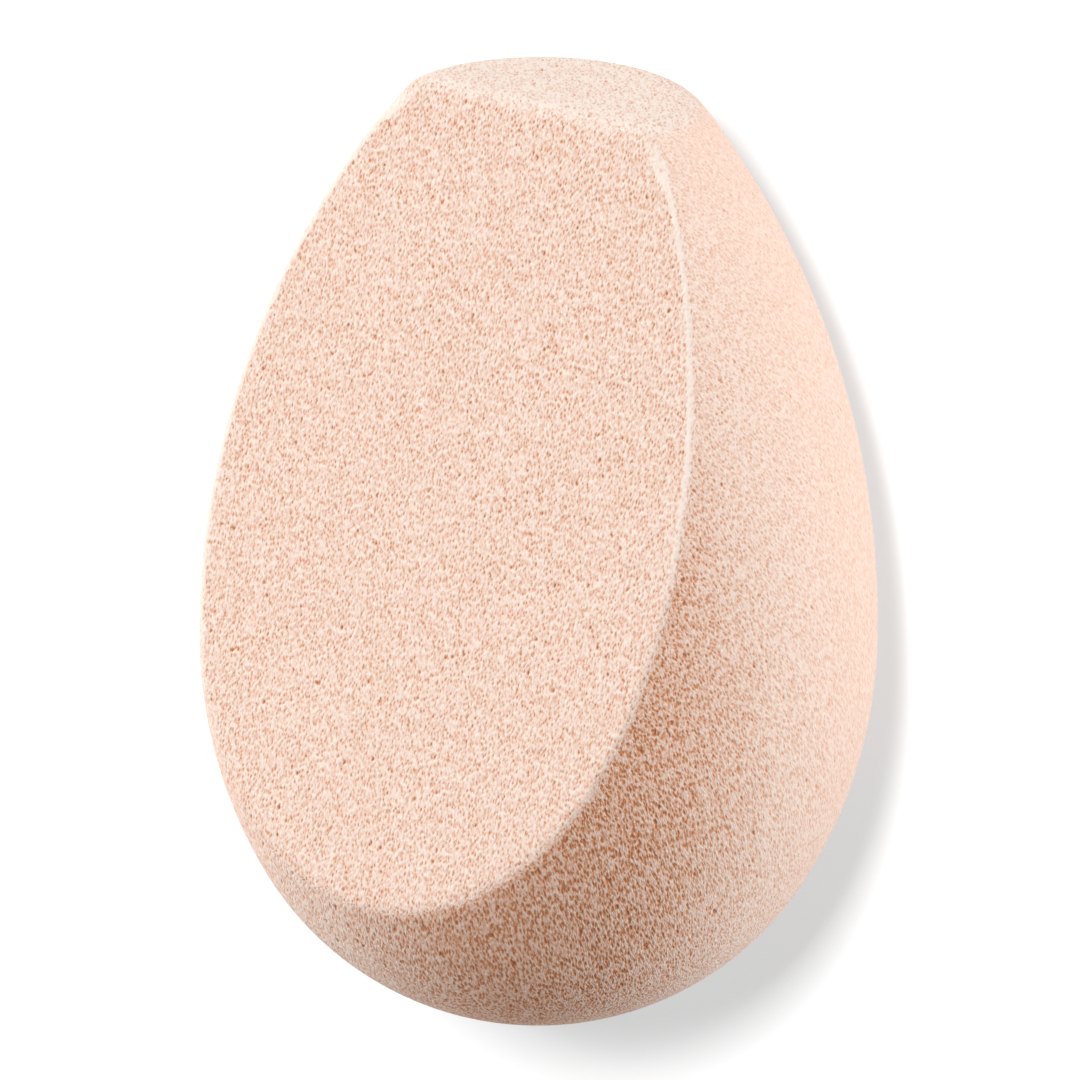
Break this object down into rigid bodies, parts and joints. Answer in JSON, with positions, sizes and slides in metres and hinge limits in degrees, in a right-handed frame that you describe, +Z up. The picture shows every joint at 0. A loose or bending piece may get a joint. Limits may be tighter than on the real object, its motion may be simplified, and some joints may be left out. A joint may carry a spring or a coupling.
{
  "type": "makeup sponge",
  "caption": "Egg-shaped foam makeup sponge with a flat tip and one broad slanted cut, for blending make-up on the skin.",
  "frame": {"origin": "in the flattened patch on the sponge's back, straight below its centre of mass, on the surface that it lies on", "axes": "+Z up from that surface, through the slanted cut; +Y along the sponge towards its flat tip, which dips by 4 degrees; X across the sponge, which is the same on both sides of X = 0"},
  "size_m": [0.042, 0.0596, 0.0401],
  "materials": {
    "foam": "fine open-cell polyurethane foam, cut and ground, dry and matt"
  },
  "bodies": {
    "root": {"foam_body": "foam"}
  },
  "joints": []
}
